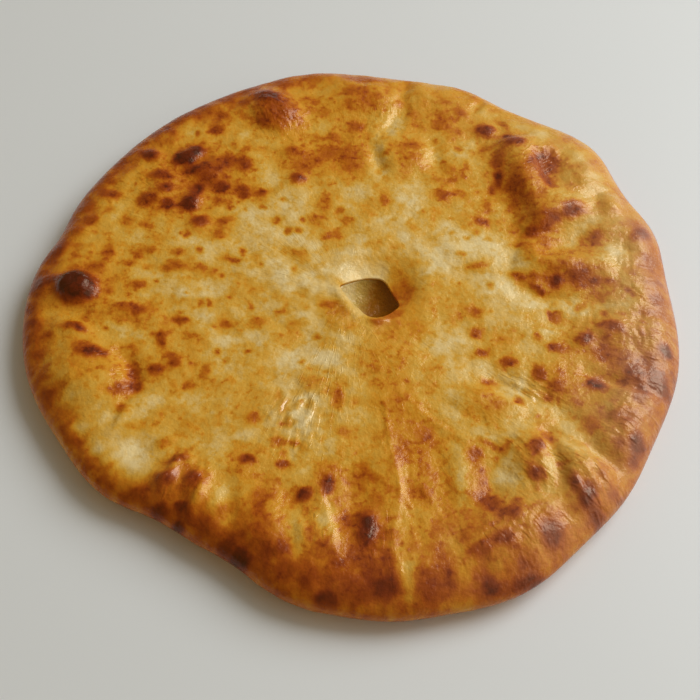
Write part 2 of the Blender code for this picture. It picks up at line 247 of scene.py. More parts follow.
# Wrinkles and small curls, as in FOLDS but finer
WRINKLES = (
    # Front left: the curls of dough and the ridges by them
    (-77, -104, -75, -93, -67, -95, 1.5, 1.8, 2.4), (-84, -109, -81, -103, -76, -102, 1.1, 1.6, 2.0),
    (-70, -109, -69, -103, -64, -102, 1.1, 1.6, 2.0), (-69, -120, -66, -113, -62, -105, 1.3, 1.6, 2.4),
    (-89, -89, -83, -84, -76, -84, 0.8, 1.8, 2.6),
    # Left: the crease and the ridge by the lobe
    (-109, -78, -102, -62, -91, -57, -0.9, 2.4, 2.0), (-108, -83, -104, -74, -99, -66, 0.8, 1.8, 2.4),
    # Front: the thin edge of the pleat, and the wrinkles on either side
    (17, -60, 18, -76, 21, -96, 0.45, 0.9, 1.8), (20, -90, 23, -106, 21, -126, 0.45, 0.9, 1.6),
    (21, -120, 20, -136, 24, -152, 0.45, 0.9, 1.6), (15, -66, 16, -76, 18, -92, -0.4, 1.2, 1.0),
    (21, -98, 25, -112, 32, -124, 0.3, 1.0, 1.6), (24, -56, 40, -75, 56, -84, 0.5, 1.2, 2.4),
    (-14, -108, -8, -122, -5, -138, 0.9, 1.6, 4.0), (-26, -116, -20, -126, -17, -140, 0.8, 1.6, 3.6),
    (28, -100, 36, -112, 42, -126, 0.4, 1.2, 1.8), (23, -116, 27, -126, 30, -138, 0.3, 1.4, 1.6),
    (-16, -60, -18, -70, -24, -80, 0.8, 1.6, 1.1), (-22, -58, -24, -68, -30, -76, 0.7, 1.6, 1.1),
    (-28, -56, -31, -66, -38, -74, 0.6, 1.6, 1.1), (-12, -66, -16, -78, -20, -88, 0.5, 1.4, 1.0),
    # The raised lip of the vent and the curl in front of it
    (-7, 6, -1, -7, 7, -17, 1.5, 3.2, 3.0), (10, -16, 15, -18, 20, -15, 1.2, 1.3, 1.6),
    # Front right: short wrinkles over the lobes
    (96, -100, 100, -108, 104, -115, 0.9, 1.4, 2.0), (102, -97, 106, -104, 111, -112, 0.9, 1.4, 2.0),
    (108, -96, 113, -103, 117, -108, 0.9, 1.4, 2.0), (119, -76, 122, -71, 127, -67, 0.8, 1.4, 1.8),
    (122, -80, 127, -76, 135, -73, 0.8, 1.4, 1.8), (128, -88, 134, -84, 141, -82, 0.7, 1.4, 1.8),
    (70, -50, 80, -54, 90, -62, 1.0, 1.2, 1.8), (66, -53, 76, -58, 86, -66, 0.8, 1.2, 1.6),
    # Back right: the rim of the pit, the groove about the round bump, and creases by the edge
    (108, 98, 112, 92, 110, 86, 0.9, 1.4, 1.8), (130, 52, 132, 64, 145, 60, -0.5, 2.0, 2.0),
    (118, 40, 128, 38, 138, 42, 0.7, 1.6, 2.2), (134, 28, 142, 24, 150, 24, -0.8, 1.8, 1.8),
    # Back: creases that run in from the edge
    (38, 61, 52, 55, 76, 63, -0.5, 2.6, 2.6), (49, 92, 54, 74, 70, 67, -0.5, 2.6, 2.6),
    (30, 138, 32, 124, 27, 108, -0.7, 2.2, 2.2), (-50, 118, -42, 112, -34, 112, 0.7, 1.4, 1.8),
    (-48, 130, -40, 128, -32, 120, 0.7, 1.4, 1.8),
)

# Crinkled patches: (x, y, half length, half width, turn, bearing of the creases, spacing, height)
CRINKLES = (
    (134, -72, 26, 15, 58, 62, 3.4, 0.46), (108, -106, 26, 12, -50, -46, 3.0, 0.44),
    (146, -26, 22, 12, 85, 95, 3.2, 0.38), (122, -24, 20, 14, 0, 70, 3.6, 0.29),
    (142, 12, 26, 14, 85, 80, 3.6, 0.23), (82, -96, 18, 12, -70, -60, 3.4, 0.23),
    (74, -130, 28, 12, 20, 40, 3.4, 0.34), (16, -134, 20, 8, 90, 88, 2.6, 0.20),
    (-12, -124, 22, 10, 88, 80, 2.8, 0.20), (-76, -108, 20, 12, 40, 70, 3.0, 0.29),
    (-118, -44, 18, 12, -40, -30, 3.2, 0.20), (-40, 122, 20, 14, -48, -40, 3.0, 0.29),
    (100, 88, 26, 14, -40, -60, 3.4, 0.26), (122, 66, 24, 18, -60, 20, 4.0, 0.16),
    (-136, 2, 12, 9, 0, 60, 3.4, 0.52), (-22, -70, 24, 18, 60, 72, 3.4, 0.26),
    (84, -56, 20, 8, -35, -48, 2.8, 0.30), (-100, 66, 40, 30, 20, 30, 3.2, 0.16),
    (22, 118, 22, 14, 60, 60, 3.0, 0.23), (0, -30, 30, 16, 80, 80, 3.0, 0.12),
    (-30, 20, 30, 22, 40, 150, 3.2, 0.10),
)

# Places where butter gathers and makes the dough glossy: (x, y, half length, half width, turn)
BUTTERY = (
    (-22, -72, 16, 12, 60), (84, -56, 14, 6, -35), (-88, -84, 16, 8, -40), (-16, -124, 10, 14, 0),
    (130, -40, 22, 14, 60), (128, -8, 16, 12, 0), (110, -104, 20, 12, -50), (-116, -52, 12, 10, -40),
    (-24, 104, 14, 10, 0), (-118, 70, 12, 8, 30),
)

# Places where the butter stands wet and glints white: (x, y, half length, half width, turn, strength)
WET = (
    (-24, -66, 20, 12, 62, 1.0), (80, -54, 16, 7, -35, 1.0), (16, -20, 10, 5, 20, 0.5),
    (-14, -122, 8, 18, 0, 0.4), (-76, -100, 14, 10, 40, 0.4),
)

# Soft browned patches, some of which also hold painted shade: (x, y, half length, half width, turn, browning)
PATCHES = (
    (8, 134, 24, 16, 0, 0.56), (-20, 92, 26, 16, -20, 0.34), (-92, 80, 34, 20, 35, 0.38),
    (-72, 76, 22, 12, 10, 0.36), (-73, 122, 13, 9, 20, 0.50), (-40, 124, 18, 14, -48, 0.61),
    (28, 94, 16, 14, 0, 0.44), (4, 98, 10, 24, 0, 0.42), (50, 122, 26, 16, -20, 0.40),
    (88, 62, 9, 30, 12, 0.62), (90, 34, 12, 10, -30, 0.51), (104, 80, 14, 11, 60, 0.68),
    (108, 46, 18, 7, 30, 0.70), (110, 8, 22, 8, 5, 0.68), (122, 26, 14, 8, 50, 0.48),
    (150, 6, 10, 36, 0, 0.42), (128, -26, 18, 14, 0, 0.42), (134, -70, 28, 16, 58, 0.48),
    (114, -110, 22, 10, -52, 0.48), (66, -68, 18, 10, -35, 0.48), (84, -88, 14, 12, -70, 0.54),
    (72, -130, 30, 13, 20, 0.48), (57, -98, 5, 16, 10, 0.42), (10, -122, 14, 26, 0, 0.42),
    (-14, -138, 20, 16, 0, 0.40), (-36, -124, 18, 20, 0, 0.48), (-76, -110, 18, 12, 50, 0.46),
    (-120, -44, 20, 14, -38, 0.42), (-102, -46, 6, 12, 10, 0.52), (-104, -14, 18, 8, -10, 0.40),
    (-86, -38, 20, 12, 20, 0.28), (14, -36, 16, 12, 60, 0.34), (-6, -14, 12, 8, -40, 0.36),
    # The patches at (25, -76), (30, -94), (34, -84), (48, -112) and (76, -27) are partly painted shade: they
    # darken slopes there that turn away from the light, over their browning.
    (25, -76, 13, 44, 4, 0.50), (30, -94, 17, 28, 0, 0.42), (-48, -100, 14, 8, 0, 0.40),
    (104, -66, 16, 10, -35, 0.46), (50, -124, 14, 9, 0, 0.52), (50, -8, 15, 18, 0, 0.34),
    (24, -24, 12, 9, 0, 0.40), (76, -27, 12, 8, 0, 0.40), (98, -50, 12, 8, -30, 0.44),
    (48, -112, 15, 20, 0, 0.46), (1, -130, 6, 22, 2, 0.58), (12, -138, 7, 16, 0, 0.58),
    (43, -146, 8, 8, 0, 0.56), (56, 76, 18, 10, 0, 0.46), (140, -50, 24, 14, -15, 0.78),
    (122, -2, 12, 8, 0, 0.51), (98, 26, 12, 8, 0, 0.56), (-50, -60, 20, 18, 20, 0.38),
    (-76, -74, 14, 10, 0, 0.36), (-50, 0, 14, 12, 0, 0.32), (-26, 150, 16, 8, 0, 0.68),
    (27, 3, 7, 15, 12, 0.48), (24, -1, 3, 10, 12, 0.62), (34, -84, 8, 12, 0, 0.46),
    (-120, 22, 20, 20, 0, 0.30), (-60, 30, 24, 20, 0, 0.20), (66, 60, 18, 12, 0, 0.22),
    (0, -118, 52, 24, 0, 0.36), (-60, -106, 30, 14, -20, 0.26),
)

# Pale places, where the browning is held back, a few of them also painted highlight: (x, y, half length, half
# width, turn, strength)
PALE_PLACES = (
    # The vent's lip at (-3, -6) is paler dough and partly a painted highlight where it turns to the light.
    (-3, -6, 17, 5.5, -52, 0.98), (8, 14, 16, 7, -12, 0.75), (16, 90, 4, 12, 0, 0.60),
    (45, 92, 5, 12, 0, 0.50), (60, 26, 26, 12, 0, 0.50), (56, -36, 26, 12, -30, 0.45),
    (-64, -66, 24, 16, 20, 0.15), (-40, 46, 26, 16, 0, 0.40), (-12, 50, 30, 16, 0, 0.72),
    (-84, 25, 30, 15, 0, 0.78), (-44, 77, 26, 10, 0, 0.50), (-100, 76, 14, 12, 0, 0.35),
    (76, 4, 16, 16, 0, 0.70), (72, 26, 14, 10, 0, 0.65), (24, 112, 9, 14, 0, 0.40),
    (76, -78, 10, 8, 0, 0.40), (98, -98, 9, 6, -50, 0.50), (-93, -94, 16, 10, -40, 0.70),
    (-22, -129, 4, 12, 12, 0.80), (-9, -121, 5, 12, 14, 0.85), (25, -149, 4, 13, 4, 0.80),
    (47, -150, 6, 11, 0, 0.60), (62, -147, 5, 7, 0, 0.45), (70, -103, 8, 12, 10, 0.45),
    (96, 118, 16, 8, -40, 0.50), (-55, -114, 5, 14, 0, 0.55), (-108, -66, 14, 8, -50, 0.45),
    (-140, -12, 12, 7, 0, 0.70), (50, -104, 3, 14, 0, 0.60), (-14, -156, 12, 3, 0, 0.45),
    (89, -97, 4.5, 19, -2, 0.85), (100, -89, 12, 3, -42, 0.70), (76, -84, 8, 16, 0, 0.55),
    # (121, 55) is partly a painted highlight on the pad's flank that faces the light.
    (100, -72, 18, 6, -42, 0.50), (121, 55, 20, 11, 60, 0.85), (134, 22, 14, 9, 30, 0.60),
    (118, 92, 12, 7, -40, 0.45), (-106, 80, 10, 6, 0, 0.40), (-118, 56, 12, 6, 0, 0.35),
    (100, -8, 22, 8, 0, 0.35), (92, 92, 6, 3, 0, 0.60),
)

# Scorched spots: (x, y, half length, half width, turn, browning)
SPOTS = (
    # The great blister on the left, and the big lump at the back
    (-134, 2, 10, 9.5, -20, 1.00), (-132, 1, 8.5, 8, 0, 1.00), (-150, 6, 8, 4, 5, 0.84),
    (-45, 134, 9, 6, -30, 0.90), (-40, 124, 12, 8, -48, 0.72), (-44, 116, 6, 5, 0, 0.70),
    # Back left
    (-88, 89, 7, 5, 20, 1.00), (-82, 95, 5, 4, 40, 1.00), (-107, 92, 6, 4, -30, 0.88),
    (-99, 76, 8, 4, -10, 0.82), (-96, 67, 5, 4, 0, 0.80), (-104, 60, 6, 5, 20, 0.76),
    (-94, 56, 5, 4, 0, 0.78), (-80, 81, 9, 5, 10, 0.84), (-75, 76, 6, 4, 0, 0.80),
    (-66, 86, 8, 6, 20, 0.74), (-56, 85, 4, 6, 0, 0.72), (-68, 69, 8, 5, -20, 0.76),
    (-55, 66, 5, 5, 0, 0.74), (-46, 65, 4, 3, 0, 0.74), (-80, 66, 4, 6, -20, 0.86),
    (-83, 57, 6, 5, 40, 0.98), (-76, 45, 5, 4, 0, 0.84), (-126, 64, 7, 4, -20, 0.72),
    (-137, 56, 5, 6, 30, 0.72), (-134, 46, 4, 4, 0, 0.68), (-140, 40, 5, 5, 40, 0.66),
    (-147, 26, 6, 4, 50, 0.80), (-118, 84, 6, 4, 40, 0.55), (-72, 111, 5, 3, 20, 0.72),
    (-69, 122, 5, 3, -30, 0.70), (-58, 131, 4, 4, 0, 0.70), (-78, 126, 5, 4, 20, 0.62),
    (-96, 104, 5, 4, 40, 0.50),
    # Back
    (-27, 75, 4, 4, 60, 0.82), (-22, 86, 10, 6, 10, 0.60), (-30, 95, 4, 4, 0, 0.66),
    (-10, 94, 6, 5, 30, 0.66), (-8, 106, 5, 4, 0, 0.62), (0, 92, 5, 9, 0, 0.62), (2, 84, 4, 5, 0, 0.60),
    (4, 114, 5, 5, 0, 0.66), (2, 140, 5, 4, 0, 0.58), (-14, 124, 4, 4, 0, 0.55), (-22, 134, 5, 4, 0, 0.52),
    (-37, 150, 7, 5, -30, 0.66), (8, 152, 12, 4, -10, 0.60), (33, 98, 5, 4, 0, 0.56),
    (34, 86, 6, 4, 20, 0.48), (51, 115, 5, 5, 0, 0.62), (62, 124, 4, 3, 0, 0.64), (54, 132, 4, 3, 0, 0.48),
    (36, 124, 3, 4, 20, 0.48), (57, 106, 3, 6, -20, 0.46), (76, 110, 5, 4, -10, 0.86),
    (87, 103, 4, 3, 0, 0.80), (91, 98, 5, 4, 0, 0.84), (76, 96, 5, 3, 20, 0.56),
    # Back right
    (80, 74, 2.5, 6, -10, 0.88), (80, 86, 4, 6, -10, 0.66), (87, 68, 4, 5, 0, 0.74),
    (76, 68, 2, 5, -10, 0.70), (105, 84, 9, 7, 50, 0.74), (104, 72, 3, 6, 10, 0.76),
    (118, 66, 5, 3, 0, 0.44), (116, 49, 8, 4, 25, 0.72), (103, 42, 6, 3, 35, 0.76),
    (94, 36, 5, 3, 25, 0.80), (133, 53, 3, 6, 20, 0.36), (150, 36, 5, 5, 80, 0.82),
    (146, 33, 4, 3, 0, 0.62), (126, 32, 3, 5, -40, 0.66), (151, 18, 4, 5, 0, 0.62), (70, 45, 4, 3, 0, 0.66),
    (50, 63, 4, 4, 0, 0.56), (58, 65, 4, 3, 0, 0.54), (19, 59, 3, 4, 0, 0.52), (12, 55, 4, 4, 0, 0.34),
    (73, 55, 2, 4, 0, 0.54), (64, 16, 5, 2, 20, 0.50), (85, 9, 4, 2, -20, 0.66), (93, 8, 3, 3, 0, 0.64),
    # Right
    (103, 5, 4, 4, 0, 0.86), (114, 9, 5, 4, 0, 0.76), (119, 4, 9, 3, 0, 0.68), (93, 2, 5, 2, -40, 0.74),
    (60, -12, 5, 3, -20, 0.50), (62, -25, 3, 3, 0, 0.64), (63, -36, 3, 2, 0, 0.66),
    (76, -42, 4, 3, 0, 0.76), (90, -48, 3, 5, 10, 0.74), (97, -55, 3, 3, 0, 0.66), (66, -53, 4, 2, 0, 0.56),
    (99, -34, 5, 3, -20, 0.74), (113, -29, 5, 4, -20, 0.76), (127, -23, 5, 4, 0, 0.72),
    (121, -37, 6, 4, -10, 0.68), (116, -54, 5, 4, 0, 0.86), (151, -36, 4, 4, 0, 0.92),
    (146, -55, 5, 5, 60, 0.82), (152, -6, 4, 6, 0, 0.66), (144, -14, 4, 3, 0, 0.56),
    (110, -76, 4, 5, 0, 0.60), (124, -74, 5, 5, 0, 0.60), (130, -86, 5, 5, 50, 0.84),
    (128, -94, 5, 3, 50, 0.74),
    # Front right
    (84, -89, 4, 4, 0, 0.76), (83, -103, 5, 3, -40, 0.66), (104, -113, 4, 6, 10, 0.86),
    (108, -121, 4, 5, 20, 0.80), (99, -108, 3, 5, 20, 0.72), (116, -111, 3, 3, 0, 0.66),
    (90, -83, 3, 4, 30, 0.60), (87, -129, 5, 6.5, 10, 0.82), (62, -116, 5, 4, 0, 0.78),
    (70, -121, 5, 3, 0, 0.80), (66, -133, 5, 4, 0, 0.80), (56, -138, 5, 4, 0, 0.72),
    (75, -150, 10, 3, 14, 0.86), (60, -152, 4, 3, 0, 0.86), (57, -92, 3, 5, 0, 0.60),
    (59, -104, 2, 7, 0, 0.58),
    # Front
    (34, -80, 4, 5, 30, 0.58), (34, -90, 3, 4, 0, 0.52), (24, -93, 3, 3, 0, 0.50),
    (31, -110, 4, 3, 0, 0.50), (8, -127, 4.5, 8, 0, 0.95), (-1, -124, 3, 6, 4, 0.62),
    (6, -102, 5, 6, 0, 0.56), (13, -114, 4, 4, 0, 0.56), (15, -153, 4.5, 4, 0, 0.90),
    (4, -155, 9, 5, 0, 0.72), (-9, -157, 6, 3.5, -10, 0.88), (-4, -143, 3, 2, 0, 0.78),
    (28, -136, 3, 3, 0, 0.54), (36, -136, 4, 3, 0, 0.56), (40, -127, 4, 3, 0, 0.52),
    (40, -154, 5, 4, 0, 0.66), (-9, -106, 3.5, 5.5, -20, 0.88), (-19, -111, 3.5, 3.5, 0, 0.86),
    (-29, -96, 3, 2, 0, 0.76), (-45, -94, 4, 3, 0, 0.74), (-10, -137, 4, 4, 0, 0.66),
    (-37, -112, 5, 4, 0, 0.62), (-46, -139, 6, 4, -20, 0.97), (-52, -134, 4, 4, 0, 0.84),
    (-38, -128, 8, 6, 0, 0.56),
    # Front left
    (-74, -124, 4, 3, 0, 0.95), (-72, -117, 4, 3, 0, 0.90), (-82, -117, 5, 3, -20, 0.88),
    (-68, -104, 4, 5, 0, 0.80), (-80, -104, 4, 6, -30, 0.76), (-75, -94, 5, 2, 20, 0.74),
    (-90, -112, 5, 3, -20, 0.66), (-97, -106, 6, 3, -40, 0.50), (-72, -110, 5, 4, 0, 0.60),
    # Left
    (-122, -37, 8, 4, -10, 0.80), (-131, -23, 6, 3, -10, 0.78), (-144, -27, 4, 3, 0, 0.66),
    (-107, -57, 5, 3, 20, 0.62), (-104, -67, 3, 3, 0, 0.62), (-100, -46, 3, 5, 0, 0.80),
    (-99, -55, 4, 4, 40, 0.76), (-90, -46, 4, 3, 20, 0.70), (-82, -41, 4, 3, 0, 0.64),
    (-85, -37, 3, 2, 0, 0.66), (-89, -28, 2.5, 5, 0, 0.74), (-108, -10, 6, 3, 0, 0.68),
    (-102, -12, 4, 3, 0, 0.66), (-81, -17, 4, 3, 0, 0.64), (-75, -26, 4, 2, -20, 0.52),
    (-104, -33, 4, 2, 0, 0.54), (-127, -15, 3, 3, 0, 0.54), (-59, -19, 4, 2, 0, 0.64),
    (-67, -46, 3, 4, -20, 0.58), (-74, -54, 3, 3, 0, 0.58), (-44, -18, 4, 3, 0, 0.56),
    (-26, -19, 4, 2, 0, 0.48), (-44, -72, 3, 3, 0, 0.56), (-31, -84, 4, 3, 0, 0.54),
    (-2, -80, 4, 3, 0, 0.54), (-5, -62, 3, 5, -10, 0.58), (-15, -53, 3, 3, 0, 0.44),
    (-83, -85, 3, 3, 0, 0.46), (-97, -76, 5, 2, 0, 0.40), (-137, -66, 6, 4, -50, 0.50),
    (-126, 15, 5, 4, 0, 0.60), (-121, 25, 4, 6, 0, 0.58), (-106, 24, 4, 4, 0, 0.52),
    (-100, 26, 3, 3, 0, 0.58), (-86, 25, 4, 3, 0, 0.54), (-86, 16, 8, 3, 0, 0.56), (-68, 13, 3, 3, 0, 0.52),
    (-104, 4, 4, 3, 30, 0.64), (-58, 20, 4, 2, 0, 0.60), (-114, 45, 3, 4, 0, 0.54),
    (-104, 42, 4, 2, 0, 0.52), (-96, 34, 5, 3, 0, 0.40), (-64, 46, 4, 3, 20, 0.62),
    (-66, 36, 5, 3, 0, 0.52), (-37, 46, 3, 2, 0, 0.46), (-16, 46, 4, 4, 0, 0.50), (-12, 58, 5, 6, 0, 0.50),
    (-1, 46, 4, 3, 0, 0.44), (-8, 36, 6, 4, 0, 0.48), (-24, 24, 3, 2, 0, 0.40),
    # Round the vent
    (29, 4, 4, 9, 10, 0.52), (22, -13, 6, 3, 30, 0.55), (33, -22, 5, 4, 0, 0.44), (14, -18, 4, 2, 0, 0.54),
    (-8, -8, 4, 3, 0, 0.52), (-3, -12, 4, 3, -40, 0.46), (14, -46, 3, 3, 0, 0.46), (14, -64, 5, 5, 0, 0.40),
    (42, -46, 4, 4, 0, 0.34),
)

# Small spots scattered over the top: (x, y, spread, how many, largest half width, browning)
SCATTERS = (
    (-80, 60, 60, 80, 2.5, 0.64), (-95, -10, 55, 60, 2.5, 0.60), (-20, 90, 50, 40, 2.6, 0.60),
    (60, 100, 40, 34, 2.6, 0.56), (125, -20, 45, 40, 2.6, 0.64), (90, -100, 50, 34, 2.6, 0.62),
    (-20, -60, 60, 40, 2.4, 0.50), (10, -130, 50, 24, 2.4, 0.60), (60, 40, 50, 26, 2.2, 0.48),
)

# The browned band round the edge, and the changes of its level and of its width in millimetres:
# (bearing in degrees, change, half width in degrees)
BAND_LEVEL = 0.56
BAND_LEVELS = (
    (35, -0.20, 30), (86, -0.06, 14), (75, -0.16, 16), (125, 0.14, 24), (175, 0.14, 24), (225, 0.10, 16),
    (252, 0.17, 14), (282, 0.17, 18), (324, -0.12, 20), (345, -0.06, 14),
)
BAND_HALF_WIDTH = 9.0  # mm
BAND_WIDTHS = (
    (160, -1.5, 20), (222, -2.5, 18), (268, 8.0, 20),
)
BAND_INSET_SHARE = 0.7  # of the half width: from the outline in to the middle of the band
BAND_UNEVENNESS = 0.08
EDGE_LINE = 0.74  # browning of the thin darker line along the bulge of the side
EDGE_LINE_WIDTH = 1.8  # mm
EDGE_LINE_BEARING = 35  # where that line is the darkest

DOUGH_BROWNING = 0.04  # of the palest dough
GOLDEN_BROWNING = 0.21  # added where the dough is golden
UNEVEN_BROWNING = 0.05  # added or taken away over broad fields
HEIGHT_BROWNING = 0.02  # added for each millimetre of relief
MOST_GOLDEN = 0.45  # of dough that is neither in a browned patch nor in a spot
# Browning of the vent's wall and of the hollow: partly the dough's own, partly painted shade that darkens the
# inside of the vent.
INSIDE_BROWNING_AND_SHADE = 0.46
SIDE_BROWNING = 0.50  # of the side below its bulge, and of the underside
MOTTLING = 0.35  # how unevenly the patches and the band are browned
PATCH_SQUARENESS = 2.4
PALE_SQUARENESS = 2.6
SPOT_SQUARENESS = 3.6
HALO_SIZE = 1.9  # of the browned ring round a spot, times the spot
SPOT_REACH = 8  # mm, beyond which a scattered spot doesn't show

# Colours of the crust from raw dough to scorched: (browning, linear red, green, blue)
CRUST_COLOURS = (
    (0.00, 0.85, 0.64, 0.290),
    (0.10, 0.77, 0.50, 0.145),
    (0.22, 0.72, 0.39, 0.050),
    (0.36, 0.68, 0.290, 0.018),
    (0.50, 0.55, 0.158, 0.006),
    (0.64, 0.40, 0.080, 0.003),
    (0.78, 0.25, 0.036, 0.002),
    (0.90, 0.14, 0.018, 0.002),
    (1.00, 0.085, 0.013, 0.002),
)

PAINTED_SHEEN_COLOUR = (0.50, 0.37, 0.27)  # painted sheen: the colour toward which the rim facing the bright wall turns
PAINTED_SHEEN_STRENGTH = 0.24  # how far the painted sheen turns it toward that colour

# Painted light and shade of the potato, from the side of the vent that the light reaches to the other: as
# above
POTATO_LIGHT_AND_SHADE_COLOURS = (
    (0.00, 0.66, 0.50, 0.210),
    (0.20, 0.49, 0.31, 0.060),
    (0.50, 0.285, 0.098, 0.003),
    (1.00, 0.26, 0.085, 0.002),
)

# ---- Shape functions of the CAD crust ----


def bell(offset):
    """1 where the offset is 0, and fading to 0 beyond 1 on either side."""
    return np.exp(-(offset**2))


def swell_sum(bearings, swells):
    """Sum of soft swells over the bearings in radians."""
    total = np.zeros(np.shape(bearings))
    for at, swell, width in swells:
        off = np.angle(np.exp(1j * (bearings - math.radians(at))))
        total += swell * MM * bell(off / math.radians(width))
    return total


def outline_radius(bearings):
    """Distance from the middle of the pie to its outline."""
    return MEAN_RADIUS + swell_sum(bearings, OUTLINE_SWELLS)


def vent_radius(bearings):
    """Distance from the vent's middle to its torn edge: straight sides that meet in rounded corners."""
    total = np.zeros(np.shape(bearings))
    for facing, distance in VENT_SIDES:
        toward = np.clip(np.cos(bearings - math.radians(facing)), 0, None)
        total += (toward / (distance * MM)) ** VENT_SQUARENESS
    return total ** (-1 / VENT_SQUARENESS)


def ellipse_weight(x, y, centre_x, centre_y, half_length, half_width, turn, squareness):
    """1 in the middle of an ellipse and fading to 0 outside it, over the points x, y in metres."""
    cos_turn, sin_turn = math.cos(math.radians(turn)), math.sin(math.radians(turn))
    off_x, off_y = x / MM - centre_x, y / MM - centre_y
    along = (off_x * cos_turn + off_y * sin_turn) / half_length
    across = (off_y * cos_turn - off_x * sin_turn) / half_width
    return np.exp(-((along**2 + across**2) ** (squareness / 2)))


def mound_rise(x, y, mound):
    """Rise of one mound over the points x, y."""
    return mound[5] * MM * ellipse_weight(x, y, *mound[:5], mound[6])


def fold_rise(x, y, fold):
    """Rise of one fold over the points x, y: full along the middle of its crest, and fading at its ends."""
    start, middle, end = (np.array(fold[at : at + 2], float) for at in (0, 2, 4))
    rise, left_width, right_width = fold[6:9]
    bend = 2 * middle - (start + end) / 2
    shares = np.linspace(0, 1, FOLD_STEPS + 1)[:, None]
    crest = (1 - shares) ** 2 * start + 2 * shares * (1 - shares) * bend + shares**2 * end
    nearest = np.full(np.shape(x), np.inf)
    result = np.zeros(np.shape(x))
    for step, (first, second) in enumerate(zip(crest, crest[1:])):
        run = second - first
        off_x, off_y = x / MM - first[0], y / MM - first[1]
        share = np.clip((off_x * run[0] + off_y * run[1]) / (run @ run), 0, 1)
        away = np.hypot(off_x - share * run[0], off_y - share * run[1])
        width = np.where(run[0] * off_y - run[1] * off_x > 0, left_width, right_width)
        crest_share = np.sin(math.pi * (step + share) / FOLD_STEPS) ** 0.7
        closer = away < nearest
        nearest = np.where(closer, away, nearest)
        result = np.where(closer, rise * MM * crest_share * bell(away / width), result)
    return result


def smooth_height(x, y):
    """Top of the pie without its rim, folds and lumps: flat, with the dip round the vent."""
    return CROWN_HEIGHT + mound_rise(x, y, MOUNDS[0])


def relief(x, y, inset):
    """Rise of the rim, folds and lumps above the smooth top."""
    rise = swell_sum(np.arctan2(y, x), RIM_SWELLS) * bell((inset - RIM_INSET) / RIM_HALF_WIDTH)
    for mound in MOUNDS[1:]:
        rise = rise + mound_rise(x, y, mound)
    for fold in FOLDS:
        rise = rise + fold_rise(x, y, fold)
    return rise


def inset_of(x, y):
    """Distance from the outline in to the points x, y, along their bearing."""
    return outline_radius(np.arctan2(y, x)) - np.hypot(x, y)


def hollow_height(x, y, share):
    """Ceiling of the hollow, that share of the way from the vent to the hollow's edge."""
    lip = np.clip(1 - share / VENT_THINNING, 0, 1)
    return smooth_height(x, y) - CRUST_THICKNESS + (CRUST_THICKNESS - LIP_THICKNESS) * lip


# ---- Fine relief and browning over the top ----


def fade(share):
    """Smooth step over a share of 0 to 1."""
    return share**3 * (share * (share * 6 - 15) + 10)


def noise(x, y, size, seed):
    """Smooth noise of about -1 to 1 over the points x, y in metres, with lumps size millimetres across."""
    angles = np.random.default_rng(seed).uniform(0, 2 * math.pi, (NOISE_CELLS, NOISE_CELLS))
    column, row = np.floor(x / MM / size).astype(int), np.floor(y / MM / size).astype(int)
    u, v = x / MM / size - column, y / MM / size - row

    def corner(right, up):
        angle = angles[(column + right) % NOISE_CELLS, (row + up) % NOISE_CELLS]
        return np.cos(angle) * (u - right) + np.sin(angle) * (v - up)

    low = corner(0, 0) + (corner(1, 0) - corner(0, 0)) * fade(u)
    high = corner(0, 1) + (corner(1, 1) - corner(0, 1)) * fade(u)
    return 1.5 * (low + (high - low) * fade(v))


def layered_noise(x, y, size, seed, layers=3):
    """Noise with finer and weaker layers over it, each turned so that their cells don't line up."""
    total = np.zeros(np.shape(x))
    for layer in range(layers):
        turn = 0.9 * layer + 0.4
        turned_x = x * math.cos(turn) - y * math.sin(turn)
        turned_y = x * math.sin(turn) + y * math.cos(turn)
        total += noise(turned_x, turned_y, size / 2**layer, seed + layer) / 2**layer
    return total


def undulation(x, y, waves):
    """Sum of noises in metres: (height, size, seed)."""
    return sum(height * MM * noise(x, y, size, seed) for height, size, seed in waves)


def radial_streaks(x, y, size, seed):
    """Layered noise whose lumps, size millimetres across, are drawn out into streaks toward the edge."""
    inset = inset_of(x, y)
    squeeze = (MEAN_RADIUS - inset / STREAK_LENGTH) / np.maximum(np.hypot(x, y), 1 * MM)
    return layered_noise(x * squeeze, y * squeeze, size, seed, 2)


def crinkle_rise(x, y, crinkle, seed):
    """Fine creases over one patch, long in the direction that the dough was pulled."""
    bearing, spacing, height = crinkle[5:8]
    turn = math.radians(bearing)
    bent_x = x + 1.5 * MM * noise(x, y, 9, seed + 1)
    bent_y = y + 1.5 * MM * noise(x, y, 9, seed + 2)
    along = (bent_x * math.cos(turn) + bent_y * math.sin(turn)) / CREASE_LENGTH
    across = bent_y * math.cos(turn) - bent_x * math.sin(turn)
    ridges = 1 - 2.6 * np.abs(noise(along, across, spacing, seed))
    return height * MM * ridges * ellipse_weight(x, y, *crinkle[:5], 3)


def fine_relief(x, y):
    """Undulation, crinkles, blisters and texture of the dough."""
    rise = undulation(x, y, UNDULATION) + TEXTURE_HEIGHT * layered_noise(x, y, TEXTURE_SIZE, 4, 2)
    rise += bell((inset_of(x, y) - RIM_INSET / 2) / RIM_HALF_WIDTH) * undulation(x, y, RIM_UNDULATION)
    for wrinkle in WRINKLES:
        rise = rise + fold_rise(x, y, wrinkle)
    for index, crinkle in enumerate(CRINKLES):
        rise = rise + crinkle_rise(x, y, crinkle, 100 + 7 * index)
    for spot in SPOTS:
        size = min(spot[2], spot[3])
        rise = rise + BLISTER_RISE * size * spot[5] * MM * ellipse_weight(x, y, *spot[:5], 3)
    return rise


